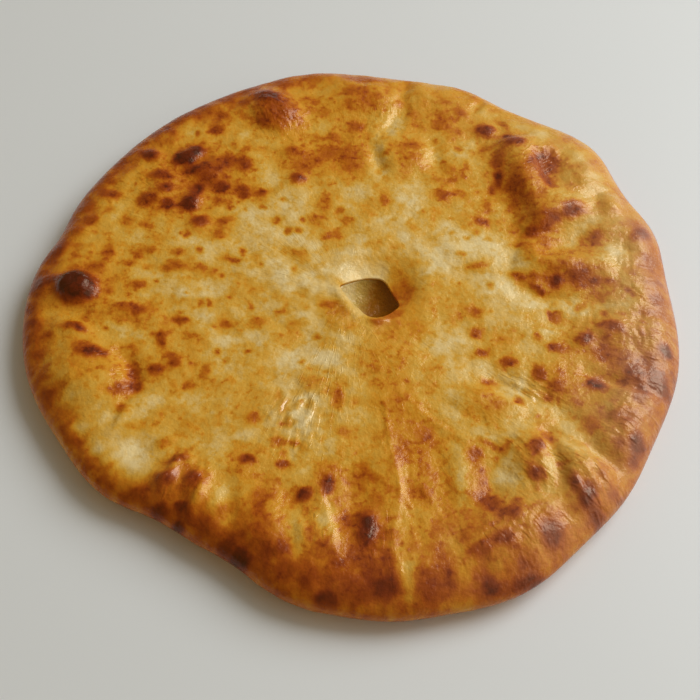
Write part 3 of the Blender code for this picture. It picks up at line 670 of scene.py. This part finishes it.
def top_height(x, y):
    """Fine top of the pie, rolled down over the edge rounding to the bulge of the side."""
    inset = inset_of(x, y)
    share = np.clip(inset / EDGE_ROUNDING, 0, 1)
    roll = np.sqrt(1 - (1 - share) ** 2)
    crown = smooth_height(x, y) + relief(x, y, inset) + fine_relief(x, y)
    return SIDE_HEIGHT + (crown - SIDE_HEIGHT) * roll


def scattered_spots():
    """The small spots, with the values of those in SPOTS, drawn with a fixed seed."""
    draw = np.random.default_rng(11)
    spots = []
    for centre_x, centre_y, spread, count, largest, level in SCATTERS:
        for _ in range(count):
            x, y = draw.normal((centre_x, centre_y), spread / 2)
            half_width = largest * draw.uniform(0.35, 1.0)
            turn = draw.uniform(0, 180)
            half_length = half_width * draw.uniform(1, 1.7)
            spots.append((x, y, half_length, half_width, turn, level * draw.uniform(0.6, 1.0)))
    return spots


def top_browning(x, y):
    """How far the top is browned, from 0 for raw dough to 1 for scorched, with painted shade in a few patches
    and painted highlight in a few pale places.
    """
    warp_x, warp_y = x + undulation(x, y, WARP_X), y + undulation(x, y, WARP_Y)
    inset = inset_of(x, y) / MM
    height = relief(x, y, inset * MM) / MM
    streaks = radial_streaks(x, y, 9, 63)
    outward = fade(np.clip(np.hypot(x, y) / MEAN_RADIUS, 0, 1))
    golden = np.clip(0.5 + 0.8 * layered_noise(x, y, 15, 26) + 0.35 * streaks * outward, 0, 1)
    browning = DOUGH_BROWNING + UNEVEN_BROWNING * noise(x, y, 34, 25)
    browning = np.clip(browning + GOLDEN_BROWNING * fade(golden) + HEIGHT_BROWNING * height, 0, MOST_GOLDEN)
    mottle = layered_noise(x, y, 6, 27)

    def brown(level, weight):
        """The browning, brought toward the level where that is darker."""
        return browning + np.clip(level - browning, 0, None) * np.clip(weight, 0, 1)

    for patch in PATCHES:
        weight = ellipse_weight(warp_x, warp_y, *patch[:5], PATCH_SQUARENESS)
        browning = brown(patch[5], weight * (0.9 + MOTTLING * mottle))
    held = np.ones(np.shape(x))
    for place in PALE_PLACES:
        held *= 1 - place[5] * ellipse_weight(warp_x, warp_y, *place[:5], PALE_SQUARENESS)
    browning *= held
    bearings = np.arctan2(y, x)
    level = BAND_LEVEL + swell_sum(bearings, BAND_LEVELS) / MM
    width = BAND_HALF_WIDTH + swell_sum(bearings, BAND_WIDTHS) / MM
    weight = bell(inset / (width * (1 + 0.3 * streaks)) - BAND_INSET_SHARE)
    level = level + BAND_UNEVENNESS * (layered_noise(x, y, 16, 30) + streaks)
    browning = brown(level, weight * held**0.7 * (1.0 + MOTTLING * mottle))
    around = 0.5 + 0.5 * np.cos(bearings - math.radians(EDGE_LINE_BEARING))
    browning = brown(EDGE_LINE, around**2 * bell(inset / EDGE_LINE_WIDTH))
    for spot in SPOTS:
        halo_size = (HALO_SIZE * spot[2], HALO_SIZE * spot[3])
        halo = ellipse_weight(warp_x, warp_y, *spot[:2], *halo_size, spot[4], 2)
        browning = brown(0.25 + 0.30 * spot[5], 0.8 * halo)
        browning = brown(spot[5], ellipse_weight(warp_x, warp_y, *spot[:5], SPOT_SQUARENESS))
    for spot in scattered_spots():
        near = np.hypot(x / MM - spot[0], y / MM - spot[1]) < SPOT_REACH
        weight = ellipse_weight(warp_x[near], warp_y[near], *spot[:5], 3)
        browning[near] += np.clip(spot[5] - browning[near], 0, None) * weight
    return browning


# ---- Meshes ----


def bearings_of(segments):
    """Bearings in radians of the points of a ring."""
    return np.linspace(0, 2 * math.pi, segments, endpoint=False)


def ring(x, y, z):
    """Points of one closed ring."""
    return np.column_stack([x, y, np.broadcast_to(z, np.shape(x))])


def inset_ring(bearings, inset, z):
    """Ring that follows the outline at a distance inside it, at the height z."""
    radius = outline_radius(bearings) - inset
    return ring(radius * np.cos(bearings), radius * np.sin(bearings), z)


def vent_ring(bearings, outset, z):
    """Ring that follows the torn edge of the vent at a distance outside it, at the height z."""
    radius = vent_radius(bearings) + outset
    return ring(VENT_CENTRE[0] + radius * np.cos(bearings), VENT_CENTRE[1] + radius * np.sin(bearings), z)


def on_top(points):
    """The points moved up or down to lie on the fine top."""
    return ring(points[:, 0], points[:, 1], top_height(points[:, 0], points[:, 1]))


def underside_rings():
    """Flat underside from its middle out to the foot of the side, with fewer points near the middle."""
    rings = [inset_ring(bearings_of(segments), inset * MM, 0.0) for segments, inset in UNDERSIDE_ZONES]
    return rings + [inset_ring(bearings_of(TOP_ZONES[0][0]), UNDERCUT, 0.0)]


def side_rings():
    """Side above its foot, out to its bulge and in over the rounding of the top's edge."""
    bearings = bearings_of(TOP_ZONES[0][0])
    rings = []
    for step in range(1, UNDERCUT_RINGS):
        angle = math.pi / 2 * (1 - step / UNDERCUT_RINGS)
        level = SIDE_HEIGHT * (1 - math.sin(angle))
        uneven = noise(MEAN_RADIUS * bearings, level + 0 * bearings, 9, 41)
        dent = SIDE_DENTS * (1 + uneven) * math.cos(angle)
        rings.append(inset_ring(bearings, UNDERCUT * (1 - math.cos(angle)) + dent, level))
    for step in range(EDGE_RINGS + 1):
        angle = math.pi / 2 * step / EDGE_RINGS
        rings.append(on_top(inset_ring(bearings, EDGE_ROUNDING * (1 - math.cos(angle)), 0.0)))
    return rings


def top_rings():
    """Rings over the top, from the edge rounding in to the vent's lip, with fewer points near the vent."""
    rings = []
    start = 0.0
    for segments, end, count in TOP_ZONES:
        bearings = bearings_of(segments)
        outer, inner = inset_ring(bearings, EDGE_ROUNDING, 0.0), vent_ring(bearings, LIP_ROUNDING, 0.0)
        for step in range(1, count + 1):
            share = start + (end - start) * step / count
            rings.append(on_top(outer * (1 - share) + inner * share))
        start = end
    return rings


def lip_rings():
    """The torn edge of the vent: rounded over, and down its wall to just above the hollow."""
    bearings = bearings_of(TOP_ZONES[-1][0])
    shoulder = on_top(vent_ring(bearings, LIP_ROUNDING, 0.0))[:, 2]
    rings = []
    for step in range(1, LIP_RINGS + 1):
        angle = math.pi / 2 * step / LIP_RINGS
        outset = LIP_ROUNDING * (1 - math.sin(angle))
        rings.append(vent_ring(bearings, outset, shoulder - LIP_ROUNDING * (1 - math.cos(angle))))
    return rings


def hollow_rings(gap):
    """Ceiling, edge and floor of the hollow, drawn in by gap to give the outside of the potato."""
    bearings = bearings_of(HOLLOW_SEGMENTS)
    inner, outer = vent_ring(bearings, 0, 0.0), inset_ring(bearings, POTATO_INSET + gap, 0.0)
    rings = []
    for step in range(HOLLOW_RINGS + 1):
        x, y, _ = (inner + (outer - inner) * step / HOLLOW_RINGS).T
        rings.append(ring(x, y, hollow_height(x, y, step / HOLLOW_RINGS) - gap))
    rings.append(inset_ring(bearings, POTATO_INSET + gap, FLOOR_THICKNESS + gap))
    return rings


def bridge(bm, first, second):
    """Faces between two rings of vertices, of which one may have half as many points as the other."""
    if len(first) < len(second):
        first, second = second, first
    count = len(second)
    ratio = len(first) // count
    for index in range(count):
        after = (index + 1) % count
        if ratio == 1:
            bm.faces.new((first[index], first[after], second[after], second[index]))
            continue
        left, middle, right = first[2 * index], first[2 * index + 1], first[2 * after]
        bm.faces.new((left, middle, second[index]))
        bm.faces.new((middle, second[after], second[index]))
        bm.faces.new((middle, right, second[after]))


def add_object(name, data):
    """Object in the scene that shows the data."""
    thing = bpy.data.objects.new(name, data)
    bpy.context.scene.collection.objects.link(thing)
    return thing


def closed_piece(name, rings, material):
    """Object through the rings in turn, closed by a flat face at its first and last ring."""
    bm = bmesh.new()
    loops = [[bm.verts.new(point) for point in points] for points in rings]
    for first, second in zip(loops, loops[1:]):
        bridge(bm, first, second)
    bm.faces.new(loops[0])
    bm.faces.new(loops[-1])
    bmesh.ops.recalc_face_normals(bm, faces=bm.faces)
    mesh = bpy.data.meshes.new(name)
    bm.to_mesh(mesh)
    bm.free()
    mesh.shade_smooth()
    mesh.set_sharp_from_angle(angle=math.radians(SHARP_ANGLE))
    mesh.materials.append(material)
    return add_object(name, mesh)


def add_values(piece, name, values):
    """Gives the piece a named value at each vertex for its material to read."""
    attribute = piece.data.attributes.new(name, "FLOAT", "POINT")
    attribute.data.foreach_set("value", np.asarray(values, np.float32))


# ---- Materials ----

# Noises of the crust and of the potato: (lumps to the metre, detail, roughness)
MOTTLE = (150, 3, 0.55)
FLECKS = (300, 2, 0.50)
FINE = (560, 4, 0.62)
GRAIN = (500, 3, 0.50)
MASH = (300, 3, 0.60)
MASH_LUMPS = (340, 3, 0.60)
RIDGES = (46, 130, 2.5)  # (lumps to the radian around, lumps to the metre outward, detail)


def set_ramp(node, stops):
    """Gives a Color Ramp node its stops: (position, red, green, blue)."""
    elements = node.color_ramp.elements
    while len(elements) < len(stops):
        elements.new(0.5)
    for element, (position, *colour) in zip(elements, stops):
        element.position = position
        element.color = (*colour, 1)


class Shader:
    """Node tree of one material, with short ways to add and link its nodes."""

    def __init__(self, name):
        self.material = bpy.data.materials.new(name)
        self.material.use_nodes = True
        self.tree = self.material.node_tree
        self.surface = self.tree.nodes["Principled BSDF"]

    def add(self, kind, **settings):
        """New node with those settings and values of its inputs."""
        node = self.tree.nodes.new(kind)
        for key, value in settings.items():
            if hasattr(node, key):
                setattr(node, key, value)
            else:
                node.inputs[key].default_value = value
        return node

    def link(self, source, target):
        self.tree.links.new(source, target)

    def math(self, operation, first, second, third=None):
        """Result of a Math node whose inputs are sockets or numbers."""
        node = self.add("ShaderNodeMath", operation=operation)
        for socket, value in zip(node.inputs, (first, second, third)):
            if value is None:
                continue
            if isinstance(value, (int, float)):
                socket.default_value = value
            else:
                self.link(value, socket)
        return node.outputs[0]

    def drive(self, name, source):
        """Links a socket of the surface to what varies over it."""
        self.link(source, self.surface.inputs[name])

    def fix(self, values):
        """Sets the sockets of the surface that are the same all over it."""
        for name, value in values.items():
            self.surface.inputs[name].default_value = value

    def noise(self, scale, detail, roughness):
        """Fine noise fixed to the object, with scale lumps to the metre."""
        where = self.add("ShaderNodeTexCoord")
        node = self.add("ShaderNodeTexNoise", Scale=scale, Detail=detail, Roughness=roughness)
        self.link(where.outputs["Object"], node.inputs["Vector"])
        return node.outputs["Fac"]

    def vector_math(self, operation, vector):
        """Vector Math node that takes the vector."""
        node = self.add("ShaderNodeVectorMath", operation=operation)
        self.link(vector, node.inputs[0])
        return node

    def radial_ridges(self, around, outward, detail):
        """Noise in narrow ridges that run outward, scaled by the bearing and by the distance outward."""
        where = self.add("ShaderNodeTexCoord")
        flat = self.vector_math("MULTIPLY", where.outputs["Object"])
        flat.inputs[1].default_value = (1, 1, 0)
        bearing = self.vector_math("NORMALIZE", flat.outputs["Vector"])
        radius = self.vector_math("LENGTH", flat.outputs["Vector"])
        split = self.add("ShaderNodeSeparateXYZ")
        self.link(bearing.outputs["Vector"], split.inputs[0])
        place = self.add("ShaderNodeCombineXYZ")
        self.link(self.math("MULTIPLY", split.outputs["X"], around), place.inputs["X"])
        self.link(self.math("MULTIPLY", split.outputs["Y"], around), place.inputs["Y"])
        self.link(self.math("MULTIPLY", radius.outputs["Value"], outward), place.inputs["Z"])
        node = self.add("ShaderNodeTexNoise", Scale=1.0, Detail=detail, Distortion=0.7)
        node.noise_type = "RIDGED_MULTIFRACTAL"
        self.link(place.outputs["Vector"], node.inputs["Vector"])
        return node.outputs["Fac"]

    def value(self, name):
        """The named value that the mesh gives at each vertex."""
        return self.add("ShaderNodeAttribute", attribute_name=name).outputs["Fac"]

    def ramp(self, factor, stops):
        """Colours over a factor of 0 to 1."""
        node = self.add("ShaderNodeValToRGB")
        set_ramp(node, stops)
        self.link(factor, node.inputs["Fac"])
        return node.outputs["Color"]

    def mix(self, factor, colour, other):
        """The colour turned toward another one, as far as the factor of 0 to 1 says."""
        node = self.add("ShaderNodeMix", data_type="RGBA")
        self.link(factor, node.inputs["Factor"])
        self.link(colour, node.inputs["A"])
        node.inputs["B"].default_value = (*other, 1)
        return node.outputs["Result"]

    def step(self, factor, low, high):
        """Smooth step from 0 where the factor is low to 1 where it is high."""
        node = self.add("ShaderNodeMapRange", interpolation_type="SMOOTHSTEP")
        node.inputs["From Min"].default_value = low
        node.inputs["From Max"].default_value = high
        self.link(factor, node.inputs["Value"])
        return node.outputs["Result"]

    def bump(self, height, strength, distance):
        """Relief of the surface that is finer than its mesh."""
        node = self.add("ShaderNodeBump", Strength=strength, Distance=distance)
        self.link(height, node.inputs["Height"])
        self.drive("Normal", node.outputs["Normal"])


def crust_material():
    """Buttered dough: its colour follows the browning, with fine mottling and a painted sheen on the rim
    toward the bright wall, and its gloss the butter on it.
    """
    shader = Shader("baked_crust")
    mottle = shader.step(shader.noise(*MOTTLE), 0.40, 0.66)
    flecks = shader.step(shader.noise(*FLECKS), 0.52, 0.72)
    fine = shader.math("MULTIPLY_ADD", shader.noise(*FINE), 0.24, -0.12)
    patchy = shader.math("MULTIPLY_ADD", mottle, 0.13, shader.math("MULTIPLY_ADD", flecks, 0.09, fine))
    patchy = shader.math("MULTIPLY", shader.math("SUBTRACT", patchy, 0.07), shader.value("speckle"))
    ridges = shader.math("MULTIPLY", shader.radial_ridges(*RIDGES), shader.value("wrinkles"))
    streaky = shader.math("MULTIPLY_ADD", ridges, 0.10, patchy)
    mottled = shader.math("ADD", shader.value("browning"), streaky)
    # Painted sheen: the rim toward the bright wall is turned toward a pale pinkish grey in place of the
    # wall's reflection.
    sheen_share = shader.math("MULTIPLY", shader.value("painted_sheen"), PAINTED_SHEEN_STRENGTH)
    shader.drive("Base Color", shader.mix(sheen_share, shader.ramp(mottled, CRUST_COLOURS), PAINTED_SHEEN_COLOUR))
    dry = shader.math("SUBTRACT", 1.0, shader.value("butter"))
    roughness = shader.math("MULTIPLY_ADD", dry, 0.24, 0.14)
    shader.drive("Roughness", shader.math("MULTIPLY_ADD", fine, 0.4, roughness))
    shader.drive("Coat Weight", shader.value("wet"))
    shader.fix({
        "Specular IOR Level": 0.36,
        "Specular Tint": (1.0, 0.86, 0.60, 1),
        "Coat Roughness": 0.08,
    })
    shader.bump(shader.math("MULTIPLY_ADD", shader.noise(*GRAIN), 0.6, ridges), 0.8, 0.8 * MM)
    return shader.material


def potato_material():
    """Moist mashed potato, with painted light and shade: pale where the light reaches it, and brown in
    painted shade on the other side.
    """
    shader = Shader("mashed_potato")
    uneven = shader.math("MULTIPLY_ADD", shader.noise(*MASH), 0.3, -0.15)
    shade = shader.math("ADD", shader.value("shade"), uneven)
    shader.drive("Base Color", shader.ramp(shade, POTATO_LIGHT_AND_SHADE_COLOURS))
    shader.fix({
        "Roughness": 0.22,
        "Specular IOR Level": 0.3,
        "Specular Tint": (1.0, 0.85, 0.60, 1),
        "Subsurface Weight": 0.15,
        "Subsurface Radius": (1.0, 0.7, 0.3),
        "Subsurface Scale": 2 * MM,
    })
    shader.bump(shader.noise(*MASH_LUMPS), 0.9, 0.9 * MM)
    return shader.material


def floor_material():
    """Smooth pale tabletop."""
    shader = Shader("pale_table")
    shader.fix({"Base Color": (0.77, 0.78, 0.75, 1), "Roughness": 0.45})
    return shader.material


# ---- Pieces ----


def skin_browning(points, inside):
    """Browning at the points of the crust, of which those in the hollow are inside."""
    x, y, z = points.T
    browning = top_browning(x, y)
    # Inside the hollow: browning together with painted shade of the vent's walls.
    browning[inside] = INSIDE_BROWNING_AND_SHADE
    below = np.clip((SIDE_HEIGHT - z) / SIDE_HEIGHT, 0, 1)
    below[inside] = 0
    side = SIDE_BROWNING + 0.12 * layered_noise(x, y, 14, 51)
    return browning + (side - browning) * np.clip(below * 1.6, 0, 1)


def painted_sheen(x, y):
    """How much painted sheen the dough has, from 0 to 1: the most on the rim of the side toward the bright
    wall.
    """
    toward = 0.5 + 0.5 * np.cos(np.arctan2(y, x) - math.radians(PAINTED_SHEEN_BEARING))
    sheen = toward**5 * bell(inset_of(x, y) / PAINTED_SHEEN_WIDTH - 0.5)
    return np.clip(sheen * (1 + 0.4 * layered_noise(x, y, 12, 58)), 0, 1)


def butter(x, y):
    """How much butter is on the dough, from 0 to 1."""
    amount = 0.55 + 0.45 * layered_noise(x, y, 16, 52) + 0.15 * noise(x, y, 4, 55)
    for place in BUTTERY:
        amount += 0.4 * ellipse_weight(x, y, *place, 2.4)
    return np.clip(amount, 0, 1)


def wetness(x, y):
    """How wet the butter on the dough is, from 0 to 1."""
    wet = np.zeros(np.shape(x))
    for place in WET:
        wet = np.maximum(wet, place[5] * ellipse_weight(x, y, *place[:5], 3))
    return wet


def speckle(x, y, browning):
    """How strongly the dough is speckled: less by the edge, round the vent and where it is raw."""
    near_edge = bell(inset_of(x, y) / (1.6 * BAND_HALF_WIDTH * MM) - 0.5)
    near_vent = np.exp(-((np.hypot(x - VENT_CENTRE[0], y - VENT_CENTRE[1]) / VENT_SMOOTHING) ** 4))
    baked = 0.5 + 0.5 * np.clip(browning / 0.3, 0, 1)
    return (1 - 0.55 * near_edge - 0.6 * near_vent) * baked


def wrinkling(x, y):
    """How strongly the dough is wrinkled, from 0 to 1: the most over the crinkled patches."""
    wrinkles = 0.12 + 0.05 * layered_noise(x, y, 30, 57)
    for crinkle in CRINKLES:
        wrinkles += 2.2 * crinkle[7] * ellipse_weight(x, y, *crinkle[:5], 2.6)
    return np.clip(wrinkles, 0, 1)


def make_crust():
    """The whole crust as one closed skin: underside, side, top, vent and hollow."""
    low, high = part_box("crust")
    outside = underside_rings() + side_rings() + top_rings() + lip_rings()
    rings = [np.clip(points, low, high) for points in outside] + hollow_rings(0)
    piece = closed_piece("baked_crust", rings, crust_material())
    points = np.concatenate(rings)
    x, y, _ = points.T
    browning = skin_browning(points, np.arange(len(points)) >= sum(map(len, outside)))
    add_values(piece, "browning", browning)
    # Painted sheen on the rim toward the bright wall.
    add_values(piece, "painted_sheen", painted_sheen(x, y))
    add_values(piece, "butter", butter(x, y))
    add_values(piece, "wet", wetness(x, y))
    add_values(piece, "speckle", speckle(x, y, browning))
    add_values(piece, "wrinkles", wrinkling(x, y))
    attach(piece, "root")
    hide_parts("crust")


def potato_top(points, share):
    """Lumpy mash in the vent, rising to the dough round it: share 0 in the middle, 1 at the edge."""
    x, y, _ = points.T
    lumps = 0.5 * MM * noise(x, y, 9, 61) + 0.12 * MM * layered_noise(x, y, 4, 62)
    middle = VENT_POTATO_HEIGHT - POTATO_SINKING + lumps
    edge = hollow_height(x, y, 0) - CLEARANCE
    rising = np.clip((share - POTATO_LEVEL_SHARE) / (1 - POTATO_LEVEL_SHARE), 0, 1)
    return ring(x, y, middle + (edge - middle) * rising**2)


def make_potato():
    """The layer of mashed potato, finest where it shows in the vent."""
    rings = []
    bearings = bearings_of(HOLLOW_SEGMENTS)
    edge = vent_ring(bearings, 0, 0.0)
    centre = np.array([*VENT_CENTRE, 0])
    for share in np.linspace(*VENT_POTATO_SHARES):
        rings.append(potato_top(centre + share * (edge - centre), share))
    rings += hollow_rings(CLEARANCE)
    piece = closed_piece("mashed_potato", rings, potato_material())
    x, y, _ = np.concatenate(rings).T
    # Painted light and shade: the potato is pale on the side of the vent that the light reaches and dark
    # brown on the other.
    across = (x - VENT_CENTRE[0]) - 0.3 * (y - VENT_CENTRE[1])
    add_values(piece, "shade", np.clip(0.5 + across / POTATO_SHADE_WIDTH, 0, 1))
    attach(piece, "root")
    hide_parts("potato_filling")


# ---- Stage ----

CAMERA_PLACE = (0.00108, -0.32187, 0.44319)
CAMERA_TILT = 34  # degrees from straight down
CAMERA_LENS = 55.54  # mm, on a sensor 36 mm wide
LAMPS = (  # the window, and the bright wall on the right: (name, place, size, power, colour)
    ("window", (1.49, 0.79, 1.41), 1.6, 37, (0.95, 0.98, 1.04)),
    ("wall", (1.60, -0.45, 0.80), 1.6, 6, (1.0, 0.98, 0.94)),
)
ROOM_DIRECTION = (0.60, 0.42, 0.68)  # toward the brightest part of the room
ROOM_COLOURS = (  # from the side away from it to the side toward it: (share, red, green, blue)
    (0.00, 0.380, 0.255, 0.090),
    (0.55, 0.250, 0.200, 0.110),
    (0.90, 0.160, 0.155, 0.140),
    (1.00, 0.700, 0.730, 0.780),
)
FLOOR_DROP = 0.15 * MM  # of the tabletop below the underside
FLOOR_REACH = 3.0  # from the pie to the sides of the tabletop


def aim(thing, place):
    """Puts the thing at the place, pointing at the pie."""
    thing.location = place
    thing.rotation_euler = (-Vector(place)).to_track_quat("-Z", "Y").to_euler()


def add_lamp(name, place, size, power, colour):
    """Soft round lamp that shines on the pie."""
    light = bpy.data.lights.new(name, "AREA")
    light.shape = "DISK"
    light.size = size
    light.energy = power
    light.color = colour
    aim(add_object(name, light), place)


def light_room():
    """Light from the whole room: faint and warm in front, brighter and cooler toward the window."""
    world = bpy.data.worlds.new("room")
    bpy.context.scene.world = world
    world.use_nodes = True
    tree = world.node_tree
    where = tree.nodes.new("ShaderNodeTexCoord")
    toward = tree.nodes.new("ShaderNodeVectorMath")
    toward.operation = "DOT_PRODUCT"
    toward.inputs[1].default_value = ROOM_DIRECTION
    tree.links.new(where.outputs["Generated"], toward.inputs[0])
    share = tree.nodes.new("ShaderNodeMapRange")
    share.inputs["From Min"].default_value = -1.0
    tree.links.new(toward.outputs["Value"], share.inputs["Value"])
    ramp = tree.nodes.new("ShaderNodeValToRGB")
    set_ramp(ramp, ROOM_COLOURS)
    tree.links.new(share.outputs["Result"], ramp.inputs["Fac"])
    tree.links.new(ramp.outputs["Color"], tree.nodes["Background"].inputs["Color"])


def make_stage():
    """Tabletop, soft light from the back right, and the camera."""
    mesh = bpy.data.meshes.new("tabletop")
    signs = ((-1, -1), (1, -1), (1, 1), (-1, 1))
    corners = [(x * FLOOR_REACH, y * FLOOR_REACH, -FLOOR_DROP) for x, y in signs]
    mesh.from_pydata(corners, [], [(0, 1, 2, 3)])
    mesh.materials.append(floor_material())
    add_object("tabletop", mesh)
    for lamp in LAMPS:
        add_lamp(*lamp)
    light_room()
    camera = bpy.data.cameras.new("camera")
    camera.sensor_width = 36
    camera.lens = CAMERA_LENS
    viewer = add_object("camera", camera)
    viewer.location = CAMERA_PLACE
    viewer.rotation_euler = (math.radians(CAMERA_TILT), 0, 0)
    bpy.context.scene.camera = viewer
    bpy.context.scene.view_settings.view_transform = "Standard"


make_stage()
make_crust()
make_potato()
